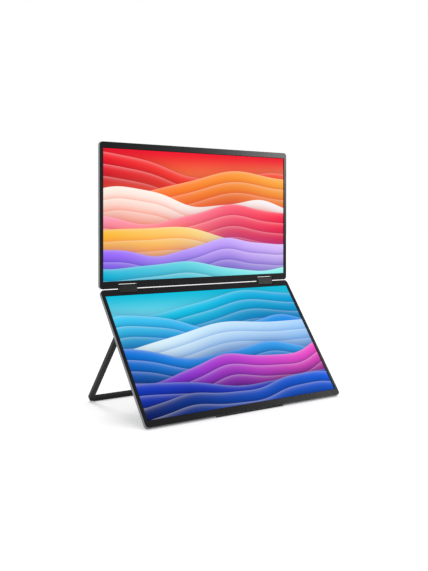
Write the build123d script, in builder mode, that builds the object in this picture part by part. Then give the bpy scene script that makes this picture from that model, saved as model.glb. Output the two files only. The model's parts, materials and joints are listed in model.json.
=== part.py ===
from build123d import *
from math import cos, radians, sin, tan
import os

os.makedirs("parts", exist_ok=True)

# Driving dimensions, in millimetres, degrees and counts

# Screens: two 15.6 inch cells in the 16:9 shape
screen_width = 344.2
screen_height = 193.6
cell_margin = 1.2
cell_thickness = 1.0
screen_reveal = 0.3

# Display shells
panel_thickness = 6.8
side_bezel = 5.8
upper_hinge_bezel = 10.9
upper_far_bezel = 9.4
lower_hinge_bezel = 10.3
corner_radius = 5.0
rear_edge_radius = 1.4
cover_wall = 1.2
bezel_plate = 1.2
bezel_edge_radius = 0.4
bezel_lip_chamfer = 0.5
rim_width = 0.8
rim_height = 1.4
fit_clearance = 0.1
part_gap = 0.3

# Pose: the upper display stands upright, the lower one leans back at the top
lower_tilt = 36.5

# Hinges: a link with two parallel axes in a round-ended block at each side
axis_spacing = 9.15
axis_inset = 3.2
hinge_inset = 46.9
block_length = 30.5
block_radius = 2.6
block_end_fillet = 0.5
notch_end_gap = 0.9
notch_wall = 1.0
notch_side_gap = 0.75
cap_length = 3.5
block_end_wall = 2.0
shaft_radius = 1.2
shaft_chamfer = 0.2
shaft_hole_clearance = 0.3
running_clearance = 0.05
press_clearance = 0.01

# Friction clips inside each block: wrapped springs, each with a toe in a groove
clips_per_shaft = 3
clip_wall = 0.6
clip_slit = 0.5
clip_toe = 1.0
clip_toe_width = 0.9
clip_gap = 0.2

# Hinge brackets and flat-head screws
lug_width = 3.0
lug_radius = 1.75
bracket_plate = 0.8
bracket_depth = 19.0
bracket_screws = 3
bracket_screw_row = 13.0
screw_radius = 0.8
screw_head_radius = 1.5
screw_head_angle = 90.0
screw_boss_radius = 2.2
screw_reach = 1.2

# Backlight
tray_depth = 1.8
tray_wall = 0.4
guide_thickness = 1.2
led_strip_thickness = 0.3
led_count = 24
led_length = 3.0
led_depth = 0.5
led_height = 0.8
led_air = 0.2

# Circuit boards
board_thickness = 0.8
chip_height = 0.7
driver_board_side_gap = 25.4
driver_board_depth = 16.0
driver_board_start = 12.0
driver_chip = 9.0
driver_chips = 4
main_board_length = 118.0
main_board_depth = 40.0
main_chip = 16.0
main_chips = 2
main_chip_pitch = 32.0
button_board_length = 20.0
button_board_depth = 35.0

# Housing of the electronics on the back of the lower display
housing_top = 8.0
housing_stand_gap = 12.2
housing_wall = 1.4
housing_corner_radius = 5.0
housing_edge_radius = 1.8
standoff_radius = 2.5
standoff_inset = 5.0
standoff_edge = 12.0
vent_length = 14.0
vent_width = 1.6
vent_rows = 3
vent_columns = 6
vent_pitch_across = 20.0
vent_pitch_down = 6.0
housing_screw_inset = 12.0
housing_screw_columns = 3
cable_slot_length = 40.0
cable_slot_width = 6.0

# Sockets and buttons in the side walls of that housing
socket_corner_gap = 1.2
socket_gap = 2.6
socket_recess = 0.4
usb_width = 8.94
usb_height = 3.16
usb_depth = 7.6
usb_count = 2
hdmi_width = 11.2
hdmi_height = 3.2
hdmi_depth = 8.2
hdmi_corner = 1.1
socket_wall = 0.3
socket_clearance = 0.2
tongue_side_gap = 0.8
tongue_thickness = 0.7
power_button_length = 7.0
rocker_length = 15.0
button_width = 2.6
button_proud = 0.7
button_flange = 0.8
button_corner_gap = 4.2
button_gap = 5.0
button_lip = 0.6
power_travel = 0.4
rocker_swing = 3.0
switch_length = 4.0
switch_height = 4.0
rocker_pivot_radius = 0.8
rocker_boss_radius = 1.6
rocker_boss_gap = 0.2
rocker_web = 1.0
rocker_web_gap = 0.4
rocker_slack = 0.5

# Stand
stand_pivot_drop = 55.2
stand_open_angle = 75.0
stand_inset = 18.0
bar_width = 7.8
bar_thickness = 6.8
bar_edge_radius = 0.9
stand_outer_corner = 9.0
stand_inner_corner = 2.5
stand_rest_gap = 0.4
stand_washer = 1.0
stand_washer_radius = 2.9
pin_radius = 1.5
pin_head_radius = 2.0
pin_head = 1.2
pin_skin = 1.2
stand_foot_flat = 4.0
stand_foot_rubber = 1.0
stand_foot_taper = 0.4

# Rubber strip in the bottom edge of the lower display
strip_length = 123.0
strip_proud = 1.1
strip_front = 1.0
strip_back = 2.8
strip_groove = 0.8
strip_round = 0.4

# Values that follow from those above

panel_width = screen_width + 2 * side_bezel
panel_height = upper_hinge_bezel + screen_height + upper_far_bezel
half_depth = panel_thickness / 2
far_edge = panel_height - axis_inset
cavity_floor = cover_wall - half_depth
bezel_back = half_depth - bezel_plate
cell_back = bezel_back - cell_thickness
tray_back = cell_back - tray_depth
hinge_offset = panel_width / 2 - hinge_inset
notch_width = block_length + 2 * notch_side_gap
notch_reach = block_radius + notch_end_gap
bracket_start = notch_reach + notch_wall + part_gap
lug_start = notch_width / 2 + cover_wall + part_gap
bracket_half = lug_start + lug_width
driver_board_length = 2 * (hinge_offset - bracket_half - driver_board_side_gap)
bracket_front = tray_back - part_gap
bracket_back = bracket_front - bracket_plate
screw_head_depth = (screw_head_radius - screw_radius) / tan(radians(screw_head_angle / 2))

# The floor touches the rubber strip at its back lower corner
tilt = radians(lower_tilt)
lean = radians(stand_open_angle - lower_tilt)
lower_axis_height = far_edge * cos(tilt) + strip_back * sin(tilt)
pivot_down = stand_pivot_drop - axis_inset
pivot_behind = half_depth + stand_rest_gap + bar_thickness / 2
pivot_height = lower_axis_height - pivot_down * cos(tilt) - pivot_behind * sin(tilt)
pivot_ahead = pivot_behind * cos(tilt) - pivot_down * sin(tilt)
foot_depth = stand_foot_flat / (1 / tan(lean) + tan(lean))
leg_drop = pivot_height - bar_thickness / 2 * sin(lean) - stand_foot_rubber + foot_depth
leg_length = leg_drop / cos(lean)
foot_corner_ahead = pivot_ahead + leg_length * sin(lean) - bar_thickness / 2 * cos(lean)

# The origin is on the floor, midway between the front edge and the back of the stand
front_round = bezel_edge_radius * (sin(tilt) + cos(tilt) - 1)
front_reach = far_edge * sin(tilt) + half_depth * cos(tilt) - front_round
back_round = bar_edge_radius * (sin(lean) + cos(lean) - 1)
back_reach = foot_corner_ahead + bar_thickness * cos(lean) - back_round
lower_axis_ahead = (front_reach - back_reach) / 2

# Planes of the bodies: x across, y away from the hinge axis, z towards the viewer
lower_axis = Vector(0, lower_axis_ahead, lower_axis_height)
link_up = Vector(0, sin(tilt / 2), cos(tilt / 2))
upper_axis = lower_axis + link_up * axis_spacing
upper_plane = Plane(origin=upper_axis, x_dir=(1, 0, 0), z_dir=(0, -1, 0))
lower_plane = Plane(origin=lower_axis, x_dir=(-1, 0, 0), z_dir=(0, -cos(tilt), sin(tilt)))
stand_pivot = lower_plane.from_local_coords(Vector(0, pivot_down, -pivot_behind))
stand_plane = Plane(origin=stand_pivot, x_dir=(1, 0, 0), z_dir=(0, cos(lean), sin(lean)))
RIGHT = -1
LEFT = 1


def side_plane(plane, across):
    """Plane square to the hinge axes: x away from the hinge, y towards the viewer."""
    middle = plane.from_local_coords(Vector(across, 0, 0))
    return Plane(origin=middle, x_dir=plane.y_dir, z_dir=plane.x_dir)


def front_axis(plane):
    """Axis that sorts faces from the back of a display to its front."""
    return Axis(plane.origin, plane.z_dir)


def spread(half_span, count):
    """Places of a row, evenly spaced between its two ends."""
    return [half_span * (2 * k / (count - 1) - 1) for k in range(count)]


def panel_outline(inset):
    """Rounded outline of a display, drawn in from its edge by the inset."""
    with Locations((0, far_edge - panel_height / 2)):
        RectangleRounded(panel_width - 2 * inset, panel_height - 2 * inset, corner_radius - inset)


def notch_outlines(side_margin, end_margin, mode):
    """The two hinge notches, open at the hinge edge."""
    end = notch_reach + end_margin
    for side in (LEFT, RIGHT):
        with Locations((side * hinge_offset, (end - axis_inset) / 2)):
            Rectangle(notch_width + 2 * side_margin, end + axis_inset, mode=mode)


def bracket_screw_places():
    """Places of the bracket screws, in a row behind each notch."""
    row = spread(bracket_half - screw_boss_radius - part_gap, bracket_screws)
    return [(side * hinge_offset + x, bracket_screw_row) for side in (LEFT, RIGHT) for x in row]


def rear_cover(plane):
    """Moulded tray of a display, with the walls of the hinge notches."""
    with BuildPart() as cover:
        with BuildSketch(plane.offset(-half_depth)):
            panel_outline(0)
        extrude(amount=panel_thickness - bezel_plate)
        fillet(cover.faces().sort_by(front_axis(plane))[0].edges(), rear_edge_radius)
        with BuildSketch(plane.offset(cavity_floor)):
            panel_outline(cover_wall)
            notch_outlines(cover_wall, notch_wall, Mode.SUBTRACT)
        extrude(amount=panel_thickness, mode=Mode.SUBTRACT)
        with BuildSketch(plane):
            notch_outlines(0, 0, Mode.ADD)
        extrude(amount=half_depth, both=True, mode=Mode.SUBTRACT)
        # Clear holes for the shafts in the side walls of the notches
        for side in (LEFT, RIGHT):
            with BuildSketch(side_plane(plane, side * hinge_offset)):
                Circle(shaft_radius + shaft_hole_clearance)
            extrude(amount=lug_start, both=True, mode=Mode.SUBTRACT)
        # Bosses under the bracket plates
        with BuildSketch(plane.offset(cavity_floor)):
            with Locations(*bracket_screw_places()):
                Circle(screw_boss_radius)
        extrude(amount=bracket_back - cavity_floor)
        with BuildSketch(plane.offset(bracket_back)):
            with Locations(*bracket_screw_places()):
                Circle(screw_radius + press_clearance)
        extrude(amount=-screw_reach, mode=Mode.SUBTRACT)
    return cover.part


def bezel(plane, hinge_bezel):
    """Front frame with a rim that locates it inside the cover."""
    with BuildPart() as frame:
        with BuildSketch(plane.offset(bezel_back)):
            panel_outline(0)
            notch_outlines(0, 0, Mode.SUBTRACT)
            screen_outline(hinge_bezel, screen_reveal, Mode.SUBTRACT)
        extrude(amount=bezel_plate)
        front = frame.faces().sort_by(front_axis(plane))[-1]
        chamfer(front.inner_wires()[0].edges(), bezel_lip_chamfer)
        front = frame.faces().sort_by(front_axis(plane))[-1]
        fillet(front.outer_wire().edges(), bezel_edge_radius)
        with BuildSketch(plane.offset(bezel_back)):
            rim_inset = cover_wall + fit_clearance
            panel_outline(rim_inset)
            with Locations((0, far_edge - panel_height / 2)):
                inside = 2 * (rim_inset + rim_width)
                Rectangle(panel_width - inside, panel_height - inside, mode=Mode.SUBTRACT)
            side_margin = bracket_half + part_gap - notch_width / 2
            notch_outlines(side_margin, cover_wall + part_gap, Mode.SUBTRACT)
        extrude(amount=-rim_height)
    return frame.part


def screen_outline(hinge_bezel, grow, mode):
    """The lit area of a screen, grown at every side."""
    with Locations((0, hinge_bezel - axis_inset + screen_height / 2)):
        Rectangle(screen_width + 2 * grow, screen_height + 2 * grow, mode=mode)


def lcd_cell(plane, hinge_bezel):
    """Glass cell of the screen, held against the back of the bezel."""
    with BuildPart() as cell:
        with BuildSketch(plane.offset(cell_back)):
            screen_outline(hinge_bezel, cell_margin, Mode.ADD)
        extrude(amount=cell_thickness)
    return cell.part


def backlight_tray(plane, hinge_bezel):
    """Folded sheet tray behind the cell."""
    with BuildPart() as tray:
        with BuildSketch(plane.offset(tray_back)):
            screen_outline(hinge_bezel, cell_margin, Mode.ADD)
        extrude(amount=tray_depth)
        with BuildSketch(plane.offset(tray_back + tray_wall)):
            screen_outline(hinge_bezel, cell_margin - tray_wall, Mode.ADD)
        extrude(amount=tray_depth, mode=Mode.SUBTRACT)
    return tray.part


def led_edge(hinge_bezel):
    """Inner face of the tray at the hinge edge."""
    return hinge_bezel - axis_inset - cell_margin + tray_wall


def light_guide(plane, hinge_bezel):
    """Clear plate that spreads the light of the strip."""
    start = led_edge(hinge_bezel) + led_strip_thickness + led_depth + led_air
    stop = hinge_bezel - axis_inset + screen_height + cell_margin - tray_wall - fit_clearance
    width = screen_width + 2 * (cell_margin - tray_wall - fit_clearance)
    with BuildPart() as guide:
        with BuildSketch(plane.offset(tray_back + tray_wall)):
            with Locations((0, (start + stop) / 2)):
                Rectangle(width, stop - start)
        extrude(amount=guide_thickness)
    return guide.part


def led_strip(plane, hinge_bezel):
    """Flexible strip with its row of light sources, on the wall of the tray."""
    edge = led_edge(hinge_bezel)
    with BuildPart() as strip:
        with BuildSketch(plane.offset(tray_back + tray_wall)):
            with Locations((0, edge + led_strip_thickness / 2)):
                Rectangle(screen_width, led_strip_thickness)
        extrude(amount=guide_thickness)
        with BuildSketch(plane.offset(tray_back + tray_wall + (guide_thickness - led_height) / 2)):
            with Locations((0, edge + led_strip_thickness + led_depth / 2)):
                with GridLocations(screen_width / led_count, 0, led_count, 1):
                    Rectangle(led_length, led_depth)
        extrude(amount=led_height)
    return strip.part


def driver_board(plane):
    """Board with the timing and column chips, on the back of the tray."""
    with BuildPart() as board:
        with BuildSketch(plane.offset(tray_back)):
            with Locations((0, driver_board_start + driver_board_depth / 2)):
                Rectangle(driver_board_length, driver_board_depth)
        extrude(amount=-board_thickness)
        with BuildSketch(plane.offset(tray_back - board_thickness)):
            with Locations((0, driver_board_start + driver_board_depth / 2)):
                with GridLocations(driver_board_length / driver_chips, 0, driver_chips, 1):
                    Rectangle(driver_chip, driver_chip)
        extrude(amount=-chip_height)
    return board.part


def hinge_brackets(plane):
    """Steel brackets: a plate behind each notch, with a lug each side of it."""
    with BuildPart() as brackets:
        with BuildSketch(plane.offset(bracket_back)):
            for side in (LEFT, RIGHT):
                with Locations((side * hinge_offset, bracket_start + bracket_depth / 2)):
                    Rectangle(2 * bracket_half, bracket_depth)
        extrude(amount=bracket_plate)
        for side in (LEFT, RIGHT):
            for lug in (-bracket_half, lug_start):
                with BuildSketch(side_plane(plane, side * hinge_offset + lug)):
                    Circle(lug_radius)
                    with Locations(((bracket_start - part_gap) / 2, 0)):
                        Rectangle(bracket_start - part_gap, 2 * lug_radius)
                    with Locations((bracket_start / 2, (bracket_back + bracket_front) / 2)):
                        Rectangle(bracket_start, bracket_plate)
                extrude(amount=lug_width)
            with BuildSketch(side_plane(plane, side * hinge_offset)):
                Circle(shaft_radius + press_clearance)
            extrude(amount=bracket_half, both=True, mode=Mode.SUBTRACT)
        with Locations(plane.offset(bracket_front)):
            with Locations(*bracket_screw_places()):
                CounterSinkHole(
                    screw_radius + press_clearance,
                    screw_head_radius,
                    bracket_plate,
                    screw_head_angle,
                )
    return brackets.part


def countersunk_screws(plane, places, reach):
    """Flat-head screws with their heads level with the plane."""
    with BuildPart() as screws:
        with BuildSketch(plane):
            with Locations(*places):
                Circle(screw_radius)
        extrude(amount=-reach)
        for place in places:
            with BuildSketch(plane) as top:
                with Locations(place):
                    Circle(screw_head_radius - press_clearance)
            with BuildSketch(plane.offset(-screw_head_depth)) as neck:
                with Locations(place):
                    Circle(screw_radius)
            loft([top.sketch, neck.sketch])
    return screws.part


clip_start = cap_length + clip_gap
clip_room = block_length - block_end_wall - clip_start
clip_length = clip_room / clips_per_shaft - clip_gap
clip_radius = shaft_radius + running_clearance + clip_wall


def block_plane(side, along):
    """Plane across a hinge block, at a length measured outwards from its inner end."""
    across = hinge_offset - block_length / 2 + along
    place = lower_axis + Vector(-side * across, 0, 0)
    return Plane(origin=place, x_dir=link_up, z_dir=(-side, 0, 0))


def hinge_shafts(plane):
    """Shafts held in the lugs, one through each block."""
    with BuildPart() as shafts:
        for side in (LEFT, RIGHT):
            with BuildSketch(side_plane(plane, side * hinge_offset - bracket_half)):
                Circle(shaft_radius)
            extrude(amount=2 * bracket_half)
        chamfer(shafts.edges().filter_by(GeomType.CIRCLE), shaft_chamfer)
    return shafts.part


def block_outline():
    """Round-ended section of a hinge block, about both axes."""
    with Locations((axis_spacing / 2, 0)):
        SlotCenterToCenter(axis_spacing, 2 * block_radius)


def shaft_holes(radius, mode):
    """Round holes on both axes of a hinge block."""
    with Locations((0, 0), (axis_spacing, 0)):
        Circle(radius, mode=mode)


def clip_toes(clearance):
    """Toes of the friction clips, which point at each other across the block."""
    reach = clip_radius + clip_toe + clearance
    width = clip_toe_width + 2 * clearance
    for axis, inward in ((0, 1), (axis_spacing, -1)):
        with Locations((axis + inward * reach / 2, clip_toe_width / 2)):
            Rectangle(reach, width)


def clip_slits():
    """Slits beside the toes, where the ends of each clip face each other."""
    for axis, inward in ((0, 1), (axis_spacing, -1)):
        with Locations((axis + inward * clip_radius / 2, -clip_slit / 2)):
            Rectangle(clip_radius, clip_slit, mode=Mode.SUBTRACT)


def hinge_housing(side):
    """Round-ended block, bored from its inner end for the clips and their toes."""
    with BuildPart() as housing:
        with BuildSketch(block_plane(side, cap_length)):
            block_outline()
        extrude(amount=block_length - cap_length)
        outer_end = housing.faces().sort_by(Axis(lower_axis, (-side, 0, 0)))[-1]
        fillet(outer_end.edges(), block_end_fillet)
        with BuildSketch(block_plane(side, cap_length)):
            shaft_holes(clip_radius, Mode.ADD)
            clip_toes(press_clearance)
        extrude(amount=clip_room + clip_gap, mode=Mode.SUBTRACT)
        with BuildSketch(block_plane(side, cap_length)):
            shaft_holes(shaft_radius + running_clearance, Mode.ADD)
        extrude(amount=block_length - cap_length, mode=Mode.SUBTRACT)
    return housing.part


def save(part, name):
    """Label a finished piece and write it."""
    part.label = name
    export_step(part, f"parts/{name}.step")


# Upper display, from its back to its front

bracket_screw_length = bracket_plate + screw_reach - fit_clearance
upper_bracket_face = upper_plane.offset(bracket_front)
save(rear_cover(upper_plane), "upper_rear_cover")
save(bezel(upper_plane, upper_hinge_bezel), "upper_bezel")
save(lcd_cell(upper_plane, upper_hinge_bezel), "upper_lcd_cell")
save(backlight_tray(upper_plane, upper_hinge_bezel), "upper_backlight_tray")
save(light_guide(upper_plane, upper_hinge_bezel), "upper_light_guide")
save(led_strip(upper_plane, upper_hinge_bezel), "upper_led_strip")
save(driver_board(upper_plane), "upper_driver_board")
save(hinge_brackets(upper_plane), "upper_hinge_brackets")
upper_screws = countersunk_screws(upper_bracket_face, bracket_screw_places(), bracket_screw_length)
save(upper_screws, "upper_bracket_screws")
save(hinge_shafts(upper_plane), "upper_hinge_shafts")

# Lower display: the same pieces, with the rubber strip and the electronics added

housing_half = panel_width / 2 - stand_inset - bar_width - stand_washer
housing_start = housing_top - axis_inset
housing_stop = pivot_down + leg_length - bar_width - housing_stand_gap
housing_middle = (housing_start + housing_stop) / 2
housing_floor = -pivot_behind - pin_head_radius - part_gap
housing_back = housing_floor - housing_wall
housing_height = -half_depth - housing_back
screw_columns = spread(housing_half - housing_screw_inset, housing_screw_columns)
screw_rows = (pivot_down + housing_screw_inset, housing_stop - housing_screw_inset)
housing_screw_places = [(x, y) for x in screw_columns for y in screw_rows]
cable_slot_middle = driver_board_start + driver_board_depth + cable_slot_width

with BuildPart() as lower_rear_cover:
    add(rear_cover(lower_plane))
    with BuildSketch(lower_plane.offset(cavity_floor)):
        with Locations(*housing_screw_places):
            Circle(screw_boss_radius)
    extrude(amount=bracket_back - cavity_floor)
    with BuildSketch(lower_plane.offset(-half_depth)):
        with Locations(*housing_screw_places):
            Circle(screw_radius + press_clearance)
    extrude(amount=screw_reach, mode=Mode.SUBTRACT)
    with BuildSketch(lower_plane.offset(-half_depth)):
        with Locations((0, cable_slot_middle)):
            SlotOverall(cable_slot_length, cable_slot_width)
    extrude(amount=cover_wall, mode=Mode.SUBTRACT)
    with BuildSketch(side_plane(lower_plane, -strip_length / 2)):
        with Locations((far_edge - strip_groove / 2, (strip_front - strip_back) / 2)):
            Rectangle(strip_groove, strip_front + strip_back)
    extrude(amount=strip_length, mode=Mode.SUBTRACT)
save(lower_rear_cover.part, "lower_rear_cover")

with BuildPart() as foot_strip:
    inner = far_edge - strip_groove
    outer = far_edge + strip_proud
    facet_end = strip_proud / tan(tilt) - strip_back
    with BuildSketch(side_plane(lower_plane, -strip_length / 2)) as section:
        Polygon(
            (inner, -strip_back),
            (far_edge, -strip_back),
            (outer, facet_end),
            (outer, strip_front),
            (inner, strip_front),
            align=None,
        )
        fillet(section.vertices().group_by(Axis.Y)[-1].sort_by(Axis.X)[-1], strip_round)
    extrude(amount=strip_length)
save(foot_strip.part, "foot_strip")

lower_bracket_face = lower_plane.offset(bracket_front)
save(bezel(lower_plane, lower_hinge_bezel), "lower_bezel")
save(lcd_cell(lower_plane, lower_hinge_bezel), "lower_lcd_cell")
save(backlight_tray(lower_plane, lower_hinge_bezel), "lower_backlight_tray")
save(light_guide(lower_plane, lower_hinge_bezel), "lower_light_guide")
save(led_strip(lower_plane, lower_hinge_bezel), "lower_led_strip")
save(driver_board(lower_plane), "lower_driver_board")
save(hinge_brackets(lower_plane), "lower_hinge_brackets")
lower_screws = countersunk_screws(lower_bracket_face, bracket_screw_places(), bracket_screw_length)
save(lower_screws, "lower_bracket_screws")
save(hinge_shafts(lower_plane), "lower_hinge_shafts")

# Hinge blocks

save(hinge_housing(LEFT), "left_hinge_housing")
save(hinge_housing(RIGHT), "right_hinge_housing")

with BuildPart() as hinge_end_caps:
    for side in (LEFT, RIGHT):
        with BuildSketch(block_plane(side, 0)):
            block_outline()
            shaft_holes(shaft_radius + running_clearance, Mode.SUBTRACT)
        extrude(amount=cap_length)
    for inner_end in hinge_end_caps.faces().filter_by(Axis.X).sort_by(Axis.X)[1:3]:
        fillet(inner_end.outer_wire().edges(), block_end_fillet)
save(hinge_end_caps.part, "hinge_end_caps")

with BuildPart() as hinge_friction_clips:
    for side in (LEFT, RIGHT):
        for k in range(clips_per_shaft):
            with BuildSketch(block_plane(side, clip_start + k * (clip_length + clip_gap))):
                shaft_holes(clip_radius - press_clearance, Mode.ADD)
                clip_toes(0)
                shaft_holes(shaft_radius + running_clearance, Mode.SUBTRACT)
                clip_slits()
            extrude(amount=clip_length)
save(hinge_friction_clips.part, "hinge_friction_clips")

# Electronics housing on the back of the lower display

wall_inside = housing_half - housing_wall
inside_radius = housing_corner_radius - housing_wall
board_back = -half_depth - part_gap - board_thickness
usb_middle = board_back - usb_height / 2
hdmi_middle = board_back - hdmi_height / 2
socket_mouth = RIGHT * (housing_half - socket_recess)
corner_end = housing_start + housing_corner_radius
usb_start = corner_end + socket_corner_gap + usb_width / 2
usb_places = [usb_start + k * (usb_width + socket_gap) for k in range(usb_count)]
hdmi_place = usb_places[-1] + usb_width / 2 + socket_gap + hdmi_width / 2
power_place = corner_end + button_corner_gap + power_button_length / 2
rocker_place = power_place + (power_button_length + rocker_length) / 2 + button_gap
board_top = housing_start + housing_wall + part_gap
board_edge = wall_inside - part_gap
main_board_across = RIGHT * (board_edge - main_board_length / 2)
main_board_down = board_top + main_board_depth / 2
button_board_across = LEFT * (board_edge - button_board_length / 2)
button_board_down = board_top + button_board_depth / 2
button_middle = board_back - part_gap - button_lip - button_width / 2
button_flange_back = button_middle - button_width / 2 - button_lip
rocker_flange = wall_inside - rocker_slack - button_flange
rocker_arm = rocker_pivot_radius + rocker_web_gap
rocker_axis = rocker_flange - rocker_arm
rocker_boss_height = button_flange_back - rocker_boss_gap - housing_floor
main_columns = [main_board_across + x for x in spread(main_board_length / 2 - standoff_edge, 2)]
main_rows = [main_board_down + y for y in spread(main_board_depth / 2 - standoff_inset, 2)]
main_standoffs = [(x, y) for x in main_columns for y in main_rows]
button_column = LEFT * (board_edge - button_board_length + standoff_inset)
button_rows = [button_board_down + y for y in spread(button_board_depth / 2 - standoff_inset, 2)]
button_standoffs = [(button_column, y) for y in button_rows]
back_face = Plane(lower_plane.offset(housing_back).origin, lower_plane.x_dir, -lower_plane.z_dir)
back_places = [(x, -y) for x, y in housing_screw_places]


def usb_outline(grow):
    """Round-ended mouths of the USB-C sockets."""
    for place in usb_places:
        with Locations((place, usb_middle)):
            SlotOverall(usb_width + 2 * grow, usb_height + 2 * grow)


def hdmi_outline(grow):
    """Mouth of the mini socket, with its two lower corners cut off."""
    half = hdmi_width / 2 + grow
    low = -hdmi_height / 2 - grow
    high = hdmi_height / 2 + grow
    with Locations((hdmi_place, hdmi_middle)):
        Polygon(
            (-half, high),
            (half, high),
            (half, low + hdmi_corner),
            (half - hdmi_corner, low),
            (hdmi_corner - half, low),
            (-half, low + hdmi_corner),
            align=None,
        )


with BuildPart() as electronics_housing:
    with BuildSketch(lower_plane.offset(housing_back)):
        with Locations((0, housing_middle)):
            RectangleRounded(2 * housing_half, housing_stop - housing_start, housing_corner_radius)
    extrude(amount=housing_height)
    back_wall = electronics_housing.faces().sort_by(front_axis(lower_plane))[0]
    fillet(back_wall.edges(), housing_edge_radius)
    with BuildSketch(lower_plane.offset(housing_floor)):
        with Locations((0, housing_middle)):
            length = housing_stop - housing_start - 2 * housing_wall
            RectangleRounded(2 * wall_inside, length, inside_radius)
    extrude(amount=housing_height, mode=Mode.SUBTRACT)
    with BuildSketch(lower_plane.offset(housing_floor)):
        with Locations(*main_standoffs, *button_standoffs):
            Circle(standoff_radius)
    extrude(amount=board_back - housing_floor)
    with BuildSketch(lower_plane.offset(housing_floor)):
        with Locations(*housing_screw_places):
            Circle(standoff_radius)
    extrude(amount=housing_height - housing_wall)
    with BuildSketch(lower_plane.offset(housing_floor)):
        with Locations((LEFT * rocker_axis, rocker_place)):
            Circle(rocker_boss_radius)
            Circle(rocker_pivot_radius + running_clearance, mode=Mode.SUBTRACT)
    extrude(amount=rocker_boss_height)
    with Locations(back_face):
        with Locations(*back_places):
            CounterSinkHole(
                screw_radius + press_clearance,
                screw_head_radius,
                housing_height,
                screw_head_angle,
            )
    # Rows of vents through the back wall
    with BuildSketch(lower_plane.offset(housing_back)):
        with Locations((0, housing_middle)):
            with GridLocations(vent_pitch_across, vent_pitch_down, vent_columns, vent_rows):
                SlotOverall(vent_length, vent_width)
    extrude(amount=housing_wall, mode=Mode.SUBTRACT)
    # Mouths of the sockets, holes of the buttons, bores of the stand pins
    with BuildSketch(side_plane(lower_plane, RIGHT * housing_half)):
        usb_outline(socket_clearance)
        hdmi_outline(socket_clearance)
    extrude(amount=-RIGHT * housing_wall, mode=Mode.SUBTRACT)
    with BuildSketch(side_plane(lower_plane, LEFT * housing_half)):
        hole_width = button_width + 2 * socket_clearance
        with Locations((power_place, button_middle)):
            SlotOverall(power_button_length + 2 * socket_clearance, hole_width)
        with Locations((rocker_place, button_middle)):
            SlotOverall(rocker_length + 2 * part_gap, hole_width)
    extrude(amount=-LEFT * housing_wall, mode=Mode.SUBTRACT)
    with BuildSketch(side_plane(lower_plane, -housing_half)):
        with Locations((pivot_down, -pivot_behind)):
            Circle(pin_radius + press_clearance)
    extrude(amount=2 * housing_half, mode=Mode.SUBTRACT)
save(electronics_housing.part, "electronics_housing")

housing_screws = countersunk_screws(back_face, back_places, housing_height + screw_reach - fit_clearance)
save(housing_screws, "housing_screws")

with BuildPart() as main_board:
    with BuildSketch(lower_plane.offset(board_back)):
        with Locations((main_board_across, main_board_down)):
            RectangleRounded(main_board_length, main_board_depth, inside_radius)
    extrude(amount=board_thickness)
    with BuildSketch(lower_plane.offset(board_back)):
        with Locations((main_board_across, main_board_down)):
            with GridLocations(main_chip_pitch, 0, main_chips, 1):
                Rectangle(main_chip, main_chip)
    extrude(amount=-chip_height)
save(main_board.part, "main_board")

with BuildPart() as usb_c_sockets:
    with BuildSketch(side_plane(lower_plane, socket_mouth)):
        usb_outline(0)
    extrude(amount=-RIGHT * usb_depth)
    with BuildSketch(side_plane(lower_plane, socket_mouth)):
        usb_outline(-socket_wall)
        for place in usb_places:
            with Locations((place, usb_middle)):
                tongue = usb_width - 2 * (socket_wall + tongue_side_gap)
                Rectangle(tongue, tongue_thickness, mode=Mode.SUBTRACT)
    extrude(amount=-RIGHT * (usb_depth - socket_wall), mode=Mode.SUBTRACT)
save(usb_c_sockets.part, "usb_c_sockets")

with BuildPart() as hdmi_socket:
    with BuildSketch(side_plane(lower_plane, socket_mouth)):
        hdmi_outline(0)
    extrude(amount=-RIGHT * hdmi_depth)
    with BuildSketch(side_plane(lower_plane, socket_mouth)):
        hdmi_outline(-socket_wall)
        with Locations((hdmi_place, hdmi_middle)):
            tongue = hdmi_width - 2 * (socket_wall + tongue_side_gap)
            Rectangle(tongue, tongue_thickness, mode=Mode.SUBTRACT)
    extrude(amount=-RIGHT * (hdmi_depth - socket_wall), mode=Mode.SUBTRACT)
save(hdmi_socket.part, "hdmi_socket")

with BuildPart() as button_board:
    with BuildSketch(lower_plane.offset(board_back)):
        with Locations((button_board_across, button_board_down)):
            RectangleRounded(button_board_length, button_board_depth, inside_radius)
        with Locations((LEFT * rocker_axis, rocker_place)):
            Circle(rocker_pivot_radius + running_clearance, mode=Mode.SUBTRACT)
    extrude(amount=board_thickness)
    power_switch = wall_inside - button_flange - power_travel - running_clearance
    rocker_sweep = rocker_length / 2 * sin(radians(rocker_swing))
    rocker_switch = rocker_flange - rocker_sweep - running_clearance
    with BuildSketch(lower_plane.offset(board_back)):
        with Locations((LEFT * (power_switch - switch_length / 2), power_place)):
            Rectangle(switch_length, switch_length)
        for end in spread((rocker_length - switch_length) / 2, 2):
            with Locations((LEFT * (rocker_switch - switch_length / 2), rocker_place + end)):
                Rectangle(switch_length, switch_length)
    extrude(amount=-switch_height)
save(button_board.part, "button_board")

with BuildPart() as power_button:
    with BuildSketch(side_plane(lower_plane, LEFT * (housing_half + button_proud))):
        with Locations((power_place, button_middle)):
            SlotOverall(power_button_length, button_width)
    extrude(amount=-LEFT * (button_proud + housing_wall))
    with BuildSketch(side_plane(lower_plane, LEFT * wall_inside)):
        with Locations((power_place, button_middle)):
            SlotOverall(power_button_length + 2 * button_lip, button_width + 2 * button_lip)
    extrude(amount=-LEFT * button_flange)
save(power_button.part, "power_button")

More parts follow.
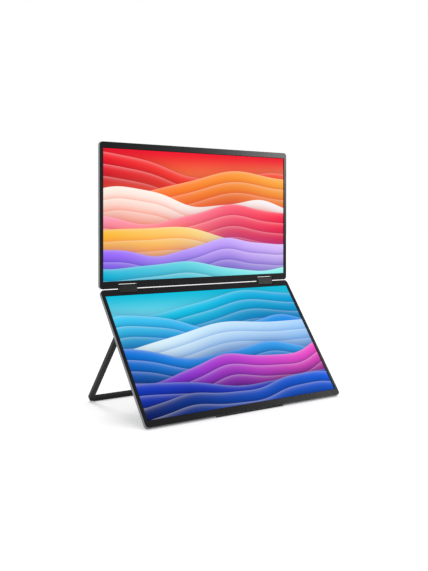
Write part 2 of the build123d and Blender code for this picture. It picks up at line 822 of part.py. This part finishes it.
with BuildPart() as menu_rocker:
    with BuildSketch(side_plane(lower_plane, LEFT * (housing_half + button_proud))):
        with Locations((rocker_place, button_middle)):
            SlotOverall(rocker_length, button_width)
    extrude(amount=-LEFT * (housing_half + button_proud - rocker_flange))
    with BuildSketch(side_plane(lower_plane, LEFT * (rocker_flange + button_flange))):
        with Locations((rocker_place, button_middle)):
            SlotOverall(rocker_length + 2 * button_lip, button_width + 2 * button_lip)
    extrude(amount=-LEFT * button_flange)
    with BuildSketch(lower_plane.offset(housing_floor + fit_clearance)):
        with Locations((LEFT * rocker_axis, rocker_place)):
            Circle(rocker_pivot_radius)
    extrude(amount=board_back + board_thickness - housing_floor - fit_clearance)
    with BuildSketch(lower_plane.offset(button_middle - button_width / 2)):
        with Locations((LEFT * (rocker_axis + rocker_arm / 2), rocker_place)):
            Rectangle(rocker_arm, rocker_web)
    extrude(amount=button_width)
save(menu_rocker.part, "menu_rocker")

# Stand

stand_half_width = panel_width / 2 - stand_inset
bar_inside = stand_half_width - bar_width
foot_corner = lower_axis_ahead + foot_corner_ahead

with BuildPart() as stand_frame:
    top = -bar_thickness / 2
    with BuildSketch(stand_plane.offset(-bar_thickness / 2)) as outline:
        with Locations((0, (top + leg_length) / 2)):
            Rectangle(2 * stand_half_width, leg_length - top)
        with Locations((0, (top + leg_length - bar_width) / 2)):
            Rectangle(2 * bar_inside, leg_length - bar_width - top, mode=Mode.SUBTRACT)
        fillet(outline.vertices().group_by(Axis.Y)[-2], stand_inner_corner)
        fillet(outline.vertices().group_by(Axis.Y)[-1], stand_outer_corner)
    extrude(amount=bar_thickness)
    ends = stand_frame.faces().sort_by(Axis(stand_pivot, stand_plane.y_dir))[:2]
    fillet(ends.edges().filter_by(Axis.X), bar_thickness / 2 - press_clearance)
    fillet(stand_frame.faces().filter_by(stand_plane).edges(), bar_edge_radius)
    for side in (-1, 1):
        with BuildSketch(side_plane(stand_plane, side * bar_inside)):
            Circle(pin_radius + running_clearance)
        extrude(amount=side * (bar_width - pin_skin), mode=Mode.SUBTRACT)
    # Flat for the rubber, level with the floor when the stand is open
    with BuildSketch(Plane.XY.offset(stand_foot_rubber)):
        with Locations((0, foot_corner)):
            Rectangle(2 * stand_half_width, leg_length)
    extrude(amount=-leg_length, mode=Mode.SUBTRACT)
save(stand_frame.part, "stand_frame")

with BuildPart() as stand_foot_strip:
    front = foot_corner - foot_depth * tan(lean)
    back = foot_corner + foot_depth / tan(lean)
    length = 2 * (stand_half_width - stand_outer_corner)
    with BuildSketch(Plane.YZ.offset(-length / 2)):
        Polygon(
            (front, stand_foot_rubber),
            (front + stand_foot_taper, 0),
            (back - stand_foot_taper, 0),
            (back, stand_foot_rubber),
            align=None,
        )
    extrude(amount=length)
save(stand_foot_strip.part, "stand_foot_strip")

with BuildPart() as stand_pins:
    for side in (LEFT, RIGHT):
        with BuildSketch(side_plane(lower_plane, side * wall_inside)):
            with Locations((pivot_down, -pivot_behind)):
                Circle(pin_radius)
        extrude(amount=side * (stand_half_width - pin_skin - part_gap - wall_inside))
        with BuildSketch(side_plane(lower_plane, side * wall_inside)):
            with Locations((pivot_down, -pivot_behind)):
                Circle(pin_head_radius)
        extrude(amount=-side * pin_head)
save(stand_pins.part, "stand_pins")

with BuildPart() as stand_washers:
    for side in (LEFT, RIGHT):
        with BuildSketch(side_plane(lower_plane, side * housing_half)):
            with Locations((pivot_down, -pivot_behind)):
                Circle(stand_washer_radius)
                Circle(pin_radius + running_clearance, mode=Mode.SUBTRACT)
        extrude(amount=side * stand_washer)
save(stand_washers.part, "stand_washers")
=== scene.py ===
import json
from math import pi, radians

import bmesh
import bpy
from mathutils import Color, Matrix, Vector


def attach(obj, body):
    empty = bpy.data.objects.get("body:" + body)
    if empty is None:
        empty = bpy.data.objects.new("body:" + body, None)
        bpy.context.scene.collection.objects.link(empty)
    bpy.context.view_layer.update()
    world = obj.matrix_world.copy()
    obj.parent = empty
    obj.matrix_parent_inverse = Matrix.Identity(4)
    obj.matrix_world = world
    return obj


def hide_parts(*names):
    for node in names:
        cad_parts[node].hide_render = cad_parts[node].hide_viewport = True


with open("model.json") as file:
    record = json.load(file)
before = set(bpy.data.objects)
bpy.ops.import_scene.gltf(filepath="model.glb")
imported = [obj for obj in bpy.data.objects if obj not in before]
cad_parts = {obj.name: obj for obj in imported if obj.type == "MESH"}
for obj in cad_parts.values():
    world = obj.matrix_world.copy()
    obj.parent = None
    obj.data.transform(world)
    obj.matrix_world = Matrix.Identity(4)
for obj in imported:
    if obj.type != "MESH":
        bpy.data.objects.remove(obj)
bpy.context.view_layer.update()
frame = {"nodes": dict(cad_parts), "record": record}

nodes = frame["nodes"]

# Rear covers: each display sits in a shallow tray of cast aluminium, blasted to an even
# grain and anodised grey. The bezel presses into its open front, and the hinge brackets
# are screwed to its floor.


class Wire:
    """A socket of a shader tree, so that shader maths reads as plain expressions."""

    def __init__(self, socket):
        self.socket = socket
        self.tree = socket.id_data

    def node(self, kind, settings, sockets, output=0):
        """Add a node: its settings first, then the values or wires of its sockets."""
        made = self.tree.nodes.new(kind)
        for name, value in settings.items():
            setattr(made, name, value)
        for key, value in sockets.items():
            feed(made.inputs[key], value)
        return Wire(made.outputs[output])

    def math(self, operation, *others):
        """Math node with this wire in its first socket."""
        sockets = dict(enumerate((self, *others)))
        return self.node("ShaderNodeMath", {"operation": operation}, sockets)

    def __add__(self, other):
        return self.math("ADD", other)

    def __sub__(self, other):
        return self.math("SUBTRACT", other)

    def __rsub__(self, other):
        return self.node("ShaderNodeMath", {"operation": "SUBTRACT"}, {0: other, 1: self})

    def __mul__(self, other):
        return self.math("MULTIPLY", other)

    __radd__ = __add__
    __rmul__ = __mul__

    def ramp(self, low, high):
        """Smooth rise from 0 at low to 1 at high."""
        settings = {"interpolation_type": "SMOOTHSTEP"}
        ends = {"Value": self, "From Min": low, "From Max": high}
        return self.node("ShaderNodeMapRange", settings, ends)

    def above(self):
        """1 where this distance in metres is over zero, 0 up to there."""
        hair = 0.00001
        return self.ramp(hair, 3 * hair)

    def mix(self, first, second):
        """Colour between two, by this wire as the share of the second."""
        sockets = {0: self, 6: first, 7: second}
        return self.node("ShaderNodeMix", {"data_type": "RGBA"}, sockets, 2)

    def along(self, direction):
        """Distance along a direction, from a wire that holds a place."""
        settings = {"operation": "DOT_PRODUCT"}
        return self.node("ShaderNodeVectorMath", settings, {0: self, 1: direction}, 1)

    def flat(self, up):
        """Place on a panel: along its width, then along its up direction."""
        sides = {"X": self.along(rightward), "Y": self.along(up)}
        return self.node("ShaderNodeCombineXYZ", {}, sides)

    def stretch(self, factors):
        """Place squeezed or stretched along the three axes."""
        settings = {"operation": "MULTIPLY"}
        return self.node("ShaderNodeVectorMath", settings, {0: self, 1: factors})

    def noise(self, size, detail=2.0):
        """Even random pattern, from 0 to 1, with lumps of the size in metres."""
        sockets = {"Vector": self, "Scale": 1 / size, "Detail": detail}
        return self.node("ShaderNodeTexNoise", {}, sockets)

    def bump(self, depth):
        """Normal of a surface whose height is this wire times the depth in metres."""
        return self.node("ShaderNodeBump", {}, {"Height": self, "Distance": depth})


def feed(socket, value):
    """Link a wire to a socket, or set a plain value on it."""
    if isinstance(value, Wire):
        value.tree.links.new(value.socket, socket)
    else:
        socket.default_value = value


def tint(code):
    """Linear colour of a six-digit screen colour."""
    parts = [int(code[k:k + 2], 16) / 255 for k in (0, 2, 4)]
    return (*Color(parts).from_srgb_to_scene_linear(), 1.0)


def new_finish(name):
    """Start a material: returns it, the inputs of its surface and the place in metres."""
    finish = bpy.data.materials.new(name)
    finish.use_nodes = True
    surface = finish.node_tree.nodes["Principled BSDF"].inputs
    place = Wire(finish.node_tree.nodes.new("ShaderNodeTexCoord").outputs["Object"])
    return finish, surface, place


def dress(finish, *names):
    """Give CAD pieces a finish in place of the plain one that they come with."""
    for name in names:
        for slot in nodes[name].material_slots:
            slot.material = finish


def blasted_aluminium():
    finish, surface, place = new_finish("blasted_aluminium")
    grain = place.noise(0.0003)
    cloud = place.noise(0.06)
    feed(surface["Base Color"], cloud.mix(tint("828487"), tint("8d8f92")))
    feed(surface["Metallic"], 0.9)
    feed(surface["Roughness"], 0.46 + 0.1 * cloud)
    feed(surface["Normal"], grain.bump(0.00002))
    return finish


dress(blasted_aluminium(), "upper_rear_cover", "lower_rear_cover")

# Backlight: behind each screen a folded sheet tray holds a clear acrylic plate, with a strip
# of light sources on its wall at the hinge edge. The plate is printed with rows of fine dots.


def tray_sheet():
    finish, surface, place = new_finish("tray_sheet")
    roll = place.stretch((0.05, 1.0, 1.0)).noise(0.0006)
    feed(surface["Base Color"], roll.mix(tint("c3c5c7"), tint("d6d7d8")))
    feed(surface["Metallic"], 1.0)
    feed(surface["Roughness"], 0.3 + 0.15 * roll)
    feed(surface["Normal"], roll.bump(0.00001))
    return finish


def light_plate(node, up):
    """Clear plate with a white dot in the middle of each square of an even grid."""
    finish, surface, place = new_finish(node + "_finish")
    dots_per_metre = 700.0
    dot_inside, dot_outside = 0.24, 0.32
    acrylic_ior = 1.49
    settings = {"feature": "F1", "voronoi_dimensions": "2D"}
    spacing = {"Vector": place.flat(up), "Scale": dots_per_metre, "Randomness": 0.0}
    from_middle = place.node("ShaderNodeTexVoronoi", settings, spacing)
    dots = from_middle.ramp(dot_outside, dot_inside)
    feed(surface["Base Color"], dots.mix(tint("dfeaf0"), tint("ffffff")))
    feed(surface["Roughness"], 0.08 + 0.5 * dots)
    feed(surface["IOR"], acrylic_ior)
    return finish


def reach(name, direction):
    """Lowest and highest place of a CAD piece along a direction."""
    places = [Vector(vertex.co).dot(direction) for vertex in nodes[name].data.vertices]
    return min(places), max(places)


def light_strip(node, away):
    """White strip whose light sources are yellow: what stands off it, away from the tray wall."""
    finish, surface, place = new_finish(node + "_finish")
    strip_thickness = 0.0003
    wall, _ = reach(node, away)
    source = (place.along(away) - (wall + strip_thickness)).above()
    speck = place.noise(0.0008)
    phosphor = speck.mix(tint("f0dc7a"), tint("e6c850"))
    feed(surface["Base Color"], source.mix(tint("e9e9e4"), phosphor))
    feed(surface["Roughness"], 0.45 + 0.2 * speck)
    return finish


joints = {joint["name"]: joint for joint in frame["record"]["behaviour"]["joints"]}
rightward = Vector((1, 0, 0))
upright = Vector((0, 0, 1))
upper_front = Vector((0, -1, 0))
panel_front = Vector(joints["rocker_tilt"]["axis"])
panel_up = panel_front.cross(rightward)
dress(tray_sheet(), "upper_backlight_tray", "lower_backlight_tray")
dress(light_plate("upper_light_guide", upright), "upper_light_guide")
dress(light_plate("lower_light_guide", panel_up), "lower_light_guide")
dress(light_strip("upper_led_strip", upright), "upper_led_strip")
dress(light_strip("lower_led_strip", -panel_up), "lower_led_strip")

# Circuit boards: green laminate with copper tracks under the solder mask and black moulded
# chips soldered on. The driver boards are taped to the trays, the other two rest on standoffs
# of the electronics housing.


def circuit_board(node, front, up):
    """Board whose chips are black: what stands off its back."""
    finish, surface, place = new_finish(node + "_finish")
    board_thickness = 0.0008
    tracks_per_metre = 420.0
    track_width = 0.04
    _, face = reach(node, front)
    chip = (face - board_thickness - place.along(front)).above()
    spacing = {"Vector": place.flat(up), "Scale": tracks_per_metre, "Mortar Size": track_width}
    tracks = place.node("ShaderNodeTexBrick", {"offset": 0.5}, spacing, 1) * (1 - chip)
    weave = place.noise(0.0012)
    laminate = tracks.mix(tint("0f5a2e"), tint("2f7d44"))
    feed(surface["Base Color"], chip.mix(laminate, tint("1b1b1c")))
    feed(surface["Roughness"], 0.3 + 0.2 * weave + 0.2 * chip)
    feed(surface["Coat Weight"], 0.3 - 0.3 * chip)
    feed(surface["Normal"], (tracks + 0.3 * weave).bump(0.00003))
    return finish


dress(circuit_board("upper_driver_board", upper_front, upright), "upper_driver_board")
for board in ("lower_driver_board", "main_board", "button_board"):
    dress(circuit_board(board, panel_front, panel_up), board)

# Screens: bonded glass cells with a matt anti-glare face, lit from behind and pressed against
# the back of the bezels. The picture shown is a plain one of paper-cut hills.


def hill(picture, across, height, rise, lean, swing, turns, start, left, right, foot):
    """Lay one hill of stacked paper sheets over the picture, with its shadow on what is behind."""
    ripple_turns, ripple_start, ripple_share = 2.6, 2.5, 0.14
    shadow_fade, shadow_share = 20.0, 0.3
    foot_depth, foot_share = 0.3, 0.55
    sheets, sheet_share = 11.0, 0.45
    gleam_fade, gleam_share = 7.0, 0.22
    soft_edge = 0.002
    wave = (2 * pi * turns * across + 2 * pi * start).math("SINE")
    ripple_phase = 2 * pi * ripple_start * start
    ripple = (2 * pi * ripple_turns * turns * across + ripple_phase).math("SINE")
    ridge = rise + lean * across + swing * wave + ripple_share * swing * ripple
    depth = ridge - height
    shadow = (shadow_fade * depth).math("EXPONENT")
    shaded = (shadow_share * shadow).mix(picture, tint(foot))
    paper = across.mix(tint(left), tint(right))
    paper = (foot_share * depth.ramp(0.0, foot_depth)).mix(paper, tint(foot))
    sheet = (sheets * depth).math("FRACT")
    paper = (sheet_share * sheet * sheet * sheet).mix(paper, tint(foot))
    gleam = (-gleam_fade * sheet).math("EXPONENT")
    paper = (gleam_share * gleam).mix(paper, tint("ffffff"))
    return depth.ramp(-soft_edge, soft_edge).mix(shaded, paper)


def lit_screen(name, node, up, sky, hills):
    """Screen face that shows a sky and the hills in front of it, the farthest one first."""
    black_border = 0.0012
    soft_edge = 0.0002
    finish, surface, place = new_finish(name)
    left, right = reach(node, rightward)
    low, high = reach(node, up)
    width = right - left - 2 * black_border
    tall = high - low - 2 * black_border
    across = (place.along(rightward) - (left + black_border)) * (1 / width)
    height = (place.along(up) - (low + black_border)) * (1 / tall)
    lit_width = across.ramp(0, soft_edge) * across.ramp(1, 1 - soft_edge)
    lit_height = height.ramp(0, soft_edge) * height.ramp(1, 1 - soft_edge)
    horizon, sky_left, sky_right, sky_top = sky
    haze = across.mix(tint(sky_left), tint(sky_right))
    picture = height.ramp(horizon, 1.0).mix(haze, tint(sky_top))
    for shape_and_colours in hills:
        picture = hill(picture, across, height, *shape_and_colours)
    feed(surface["Base Color"], tint("050506"))
    feed(surface["Roughness"], 0.38 + 0.08 * place.noise(0.0004))
    feed(surface["Specular IOR Level"], 0.02)
    feed(surface["Emission Color"], (lit_width * lit_height).mix(tint("000000"), picture))
    feed(surface["Emission Strength"], 1.0)
    return finish


# A sky is its horizon and its colours at the left, at the right and at the top. A hill is the
# rise, lean and swing of its ridge, the turns and start of its wave, and its colours at the
# left, at the right and at the foot.
warm_sky = (0.78, "ff5a24", "ff9460", "f2162e")
warm_hills = [
    (0.92, -0.12, 0.055, 1.1, 0.20, "f4142a", "ff5a34", "8a0020"),
    (0.70, 0.14, 0.065, 0.9, 0.65, "ff6410", "ffb040", "d42408"),
    (0.68, -0.12, 0.050, 1.4, 0.05, "fff0e4", "ffffff", "ff7450"),
    (0.47, 0.09, 0.055, 1.2, 0.45, "ff9ab4", "ff2848", "b80044"),
    (0.42, -0.16, 0.045, 1.0, 0.85, "ffc020", "fff4b4", "ff7a00"),
    (0.20, 0.10, 0.045, 1.5, 0.30, "9a66ff", "dcc0ff", "3a18b4"),
    (0.13, -0.08, 0.032, 1.3, 0.70, "00b8dc", "92f6f0", "005f94"),
]
cool_sky = (0.75, "8cf4ff", "48e2f6", "0cc0de")
cool_hills = [
    (0.86, 0.08, 0.055, 1.0, 0.55, "10d8f0", "00a8e0", "00609c"),
    (0.78, -0.14, 0.060, 1.3, 0.10, "3accf4", "0a8cec", "003c94"),
    (0.58, 0.12, 0.050, 0.9, 0.80, "e6fcff", "a8d4ff", "2c84d8"),
    (0.52, -0.12, 0.055, 1.2, 0.35, "0078e0", "30a8f4", "001c68"),
    (0.31, 0.12, 0.050, 1.4, 0.60, "4a28d8", "f850cc", "20066c"),
    (0.24, -0.10, 0.038, 1.1, 0.15, "0a3ac0", "2430c8", "02083c"),
    (0.10, 0.06, 0.030, 1.6, 0.90, "021c64", "0a60e4", "000210"),
]
upper_screen = lit_screen("upper_screen", "upper_lcd_cell", upright, warm_sky, warm_hills)
lower_screen = lit_screen("lower_screen", "lower_lcd_cell", panel_up, cool_sky, cool_hills)
dress(upper_screen, "upper_lcd_cell")
dress(lower_screen, "lower_lcd_cell")

# Bezels: thin frames moulded in black plastic with a fine satin texture. A rim on the back
# of each one presses into the rear cover and holds the screen against it.


def satin_black():
    finish, surface, place = new_finish("satin_black")
    grain = place.noise(0.0004)
    haze = place.noise(0.03)
    feed(surface["Base Color"], haze.mix(tint("09090d"), tint("0e0e13")))
    feed(surface["Roughness"], 0.24 + 0.06 * haze)
    feed(surface["Specular IOR Level"], 0.13)
    feed(surface["Normal"], grain.bump(0.000004))
    return finish


dress(satin_black(), "upper_bezel", "lower_bezel")

# Hinge steel: stamped brackets in the covers carry the turned shafts in their lugs, and wrapped
# spring clips in the blocks grip the shafts. Flat-head screws hold the brackets down.


def brushed_steel(name, dark, pale, grain):
    """Bare or plated steel with fine tool marks, drawn out along the axes where grain is small."""
    finish, surface, place = new_finish(name)
    lines = place.stretch(grain).noise(0.0002, 3.0)
    feed(surface["Base Color"], lines.mix(tint(dark), tint(pale)))
    feed(surface["Metallic"], 1.0)
    feed(surface["Roughness"], 0.24 + 0.2 * lines)
    feed(surface["Normal"], lines.bump(0.000008))
    return finish


across_grain = (0.03, 1.0, 1.0)
turned_grain = (1.0, 0.05, 0.05)
stamped_steel = brushed_steel("stamped_steel", "a9abad", "c4c5c6", across_grain)
turned_steel = brushed_steel("turned_steel", "b2b3b5", "cfd0d1", turned_grain)
spring_steel = brushed_steel("spring_steel", "7f8387", "9ea1a4", turned_grain)
black_zinc = brushed_steel("black_zinc", "2c2c2e", "3d3d40", turned_grain)
dress(stamped_steel, "upper_hinge_brackets", "lower_hinge_brackets")
dress(turned_steel, "upper_hinge_shafts", "lower_hinge_shafts", "stand_pins", "stand_washers")
dress(spring_steel, "hinge_friction_clips")
dress(black_zinc, "upper_bracket_screws", "lower_bracket_screws")

# Hinge blocks: die-cast zinc with caps on their inner ends, sprayed with a thin black lacquer
# that follows the fine grain of the casting.


def black_lacquer():
    finish, surface, place = new_finish("black_lacquer")
    grain = place.noise(0.0005)
    haze = place.noise(0.01)
    feed(surface["Base Color"], haze.mix(tint("101012"), tint("161618")))
    feed(surface["Roughness"], 0.36 + 0.1 * haze)
    feed(surface["Specular IOR Level"], 0.16)
    feed(surface["Normal"], grain.bump(0.000005))
    return finish


dress(black_lacquer(), "left_hinge_housing", "right_hinge_housing", "hinge_end_caps")

# Stand: a frame bent from flat bar, powder coated black with a faint orange peel. Its legs turn
# on pins in the walls of the electronics housing.


def powder_coat():
    finish, surface, place = new_finish("powder_coat")
    peel = place.noise(0.0011)
    dust = place.noise(0.02)
    feed(surface["Base Color"], dust.mix(tint("19191b"), tint("202022")))
    feed(surface["Roughness"], 0.34 + 0.12 * peel)
    feed(surface["Specular IOR Level"], 0.16)
    feed(surface["Normal"], peel.bump(0.00003))
    return finish


dress(powder_coat(), "stand_frame")

# Electronics housing: a shallow box moulded in black plastic with a spark-eroded texture,
# screwed to the back of the lower display over its boards.


def spark_texture():
    finish, surface, place = new_finish("spark_texture")
    pits = place.noise(0.0007, 4.0)
    haze = place.noise(0.04)
    feed(surface["Base Color"], haze.mix(tint("1f1f20"), tint("272728")))
    feed(surface["Roughness"], 0.52 + 0.16 * pits)
    feed(surface["Normal"], pits.bump(0.00008))
    return finish


dress(spark_texture(), "electronics_housing")

# Screws of that housing: six small flat-head screws in black zinc, each with a cross recess,
# sunk level with its back wall.

head_radius = 0.00149
shank_radius = 0.0008
recess_reach = 0.0009
recess_width = 0.00036
recess_depth = 0.0006
recess_taper = 0.55
recess_turn = radians(37)
screw_length = 0.003


def cross_screw_mesh():
    """One screw with its head at the origin, facing up Z."""
    turned = bmesh.new()
    rounding = 0.00008
    neck = head_radius - shank_radius
    profile = [(0, 0), (head_radius - rounding, 0), (head_radius, -rounding), (shank_radius, -neck)]
    profile = profile + [(shank_radius, -screw_length), (0, -screw_length)]
    points = [turned.verts.new((radius, 0, level)) for radius, level in profile]
    edges = [turned.edges.new(pair) for pair in zip(points, points[1:])]
    full_turn = {"axis": (0, 0, 1), "cent": (0, 0, 0), "angle": 2 * pi, "steps": 40}
    bmesh.ops.spin(turned, geom=points + edges, **full_turn)
    bmesh.ops.remove_doubles(turned, verts=turned.verts, dist=1e-6)
    bmesh.ops.recalc_face_normals(turned, faces=turned.faces)
    blank = bpy.data.meshes.new("screw_blank")
    turned.to_mesh(blank)
    turned.free()

    cut = bmesh.new()
    arm, half = recess_reach, recess_width / 2
    corner = [(half, half), (half, arm), (-half, arm)]
    outline = [Matrix.Rotation(k * pi / 2, 2) @ Vector(p) for k in range(4) for p in corner]
    top = [cut.verts.new((*p, recess_depth)) for p in outline]
    bottom = [cut.verts.new((*(recess_taper * p), -recess_depth)) for p in outline]
    cut.faces.new(top)
    cut.faces.new(reversed(bottom))
    for k in range(len(top)):
        cut.faces.new((top[k - 1], bottom[k - 1], bottom[k], top[k]))
    bmesh.ops.recalc_face_normals(cut, faces=cut.faces)
    recess = bpy.data.meshes.new("screw_recess")
    cut.to_mesh(recess)
    cut.free()

    screw = bpy.data.objects.new("screw_blank", blank)
    cutter = bpy.data.objects.new("screw_recess", recess)
    for made in (screw, cutter):
        bpy.context.collection.objects.link(made)
    difference = screw.modifiers.new("recess", "BOOLEAN")
    difference.operation = "DIFFERENCE"
    difference.object = cutter
    bpy.context.view_layer.update()
    finished = screw.evaluated_get(bpy.context.evaluated_depsgraph_get())
    result = bpy.data.meshes.new_from_object(finished)
    for made in (screw, cutter):
        bpy.data.objects.remove(made)
    return result


def housing_screws():
    """All six screws in one piece, at the places of the CAD screws."""
    left, right = reach("housing_screws", rightward)
    low, high = reach("housing_screws", panel_up)
    back, _ = reach("housing_screws", panel_front)
    columns = (left + head_radius, (left + right) / 2, right - head_radius)
    rows = (low + head_radius, high - head_radius)
    one = cross_screw_mesh()
    joined = bmesh.new()
    facing = (-panel_front).to_track_quat("Z", "Y").to_matrix().to_4x4()
    for k, (x, y) in enumerate((x, y) for x in columns for y in rows):
        copy = one.copy()
        turn = Matrix.Rotation(k * recess_turn, 4, "Z")
        place = x * rightward + y * panel_up + back * panel_front
        copy.transform(Matrix.Translation(place) @ facing @ turn)
        joined.from_mesh(copy)
    mesh = bpy.data.meshes.new("housing_screw_heads")
    joined.to_mesh(mesh)
    joined.free()
    mesh.materials.append(black_zinc)
    screws = bpy.data.objects.new("housing_screw_heads", mesh)
    bpy.context.collection.objects.link(screws)
    return screws


screw_heads = housing_screws()
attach(screw_heads, "lower_display")
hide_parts("housing_screws")

# Sockets: two slim oval shells and a wider one with cut corners, of nickel-plated steel, each
# round a black tongue with gold contacts. They are soldered to the main board, with their
# mouths in the right wall.

oval_width = 0.00894
wide_width = 0.0112


def socket_shell(name, node, count, shell_width):
    """Plated shells in a row along the wall, each with its tongue told apart by its place."""
    finish, surface, place = new_finish(name)
    tongue_half, tongue_side = 0.0005, 0.0011
    contact_pitch = 0.0005
    low, high = reach(node, panel_up)
    back, front = reach(node, panel_front)
    middle = place.along(panel_front) - (back + front) / 2
    flat = middle.math("ABSOLUTE").ramp(tongue_half, 0.9 * tongue_half)
    pitch = (high - low - shell_width) / max(count - 1, 1)
    tongue = 0.0
    for k in range(count):
        side = place.along(panel_up) - (low + shell_width / 2 + k * pitch)
        half = shell_width / 2 - tongue_side
        tongue = side.math("ABSOLUTE").ramp(half, 0.98 * half) + tongue
    tongue = tongue * flat
    stripes = (place.along(panel_up) * (2 * pi / contact_pitch)).math("SINE")
    contact = stripes.ramp(0.1, 0.3).mix(tint("141415"), tint("c79a3c"))
    scuff = place.noise(0.0009)
    plating = scuff.mix(tint("b9babc"), tint("d3d4d5"))
    feed(surface["Base Color"], tongue.mix(plating, contact))
    feed(surface["Metallic"], 1 - 0.6 * tongue)
    feed(surface["Roughness"], 0.2 + 0.15 * scuff)
    return finish


dress(socket_shell("oval_socket_shell", "usb_c_sockets", 2, oval_width), "usb_c_sockets")
dress(socket_shell("wide_socket_shell", "hdmi_socket", 1, wide_width), "hdmi_socket")

# Buttons: the power button and the menu rocker are moulded in smooth black plastic and stand
# a little proud of the left wall.


def button_plastic():
    finish, surface, place = new_finish("button_plastic")
    touch = place.noise(0.004)
    feed(surface["Base Color"], touch.mix(tint("262627"), tint("2f2f30")))
    feed(surface["Roughness"], 0.3 + 0.14 * touch)
    feed(surface["Normal"], place.noise(0.0005).bump(0.00001))
    return finish


dress(button_plastic(), "power_button", "menu_rocker")

# Feet: strips of extruded black rubber, one glued into a groove in the bottom edge of the
# lower display and one under the cross bar of the stand.


def foot_rubber():
    finish, surface, place = new_finish("foot_rubber")
    skin = place.noise(0.0006, 4.0)
    feed(surface["Base Color"], skin.mix(tint("171717"), tint("242424")))
    feed(surface["Roughness"], 0.72 + 0.2 * skin)
    feed(surface["Specular IOR Level"], 0.3)
    feed(surface["Normal"], skin.bump(0.00008))
    return finish


dress(foot_rubber(), "foot_strip", "stand_foot_strip")

# Studio: a wide pale floor under an even white sky, which the camera and glossy faces see as
# white. A weak, wide sun above and a little behind gives the soft shadow.

floor_half = 12.0
floor_mesh = bpy.data.meshes.new("studio_floor")
corners = [(-floor_half, -floor_half, 0), (floor_half, -floor_half, 0), (floor_half, floor_half, 0)]
floor_mesh.from_pydata(corners + [(-floor_half, floor_half, 0)], [], [(0, 1, 2, 3)])
floor = bpy.data.objects.new("studio_floor", floor_mesh)
bpy.context.collection.objects.link(floor)


def seen(tree):
    """Share of rays that show the background: those of the camera and of glossy or clear faces."""
    light = tree.nodes.new("ShaderNodeLightPath").outputs
    kinds = ("Is Camera Ray", "Is Glossy Ray", "Is Transmission Ray")
    straight, glossy, clear = (Wire(light[kind]) for kind in kinds)
    return straight.math("MAXIMUM", glossy.math("MAXIMUM", clear))


floor_finish, floor_surface, floor_place = new_finish("studio_floor")
floor_cloud = floor_place.noise(0.4)
floor_glow = seen(floor_finish.node_tree).mix(tint("000000"), tint("ffffff"))
feed(floor_surface["Base Color"], floor_cloud.mix(tint("ececec"), tint("efefef")))
feed(floor_surface["Roughness"], 0.9)
feed(floor_surface["Specular IOR Level"], 0.0)
feed(floor_surface["Emission Color"], floor_glow)
feed(floor_surface["Emission Strength"], 0.3)
floor_mesh.materials.append(floor_finish)

sky_light = 0.75
sky = bpy.data.worlds.new("studio_sky")
sky.use_nodes = True
bpy.context.scene.world = sky
background = sky.node_tree.nodes["Background"].inputs
feed(background["Color"], tint("ffffff"))
feed(background["Strength"], sky_light + (1 - sky_light) * seen(sky.node_tree))

sun_data = bpy.data.lights.new("soft_sun", "SUN")
sun_data.energy = 0.8
sun_data.angle = radians(20)
sun = bpy.data.objects.new("soft_sun", sun_data)
sun.rotation_euler = (radians(-15), radians(4), 0)
bpy.context.collection.objects.link(sun)

# Softboxes: two small bright panels at the right, one low and one high, whose reflections
# lighten the right side of the black frames.


def softbox(name, location, energy):
    """Bright panel aimed at the middle of the part, which only shows in glossy faces."""
    middle = Vector((0.05, 0.0, 0.2))
    data = bpy.data.lights.new(name, "AREA")
    data.shape = "RECTANGLE"
    data.size = 0.3
    data.size_y = 0.45
    data.energy = energy
    panel = bpy.data.objects.new(name, data)
    panel.location = location
    aim = middle - panel.location
    panel.rotation_euler = aim.to_track_quat("-Z", "Y").to_euler()
    panel.visible_diffuse = False
    bpy.context.collection.objects.link(panel)


softbox("low_softbox", (1.57, -1.45, 0.62), 17.0)
softbox("high_softbox", (1.83, -1.02, 1.46), 3.4)

# Camera: level, in front and at the left, with its lens shifted down to take in the feet.

camera_data = bpy.data.cameras.new("camera")
camera_data.sensor_width = 36.0
camera_data.lens = 51.22
camera_data.shift_y = -0.1125
camera = bpy.data.objects.new("camera", camera_data)
camera.location = (-0.7382, -1.0133, 0.2750)
camera.rotation_euler = (radians(90), 0, radians(-36.32))
bpy.context.collection.objects.link(camera)
bpy.context.scene.camera = camera
bpy.context.scene.view_settings.view_transform = "Standard"
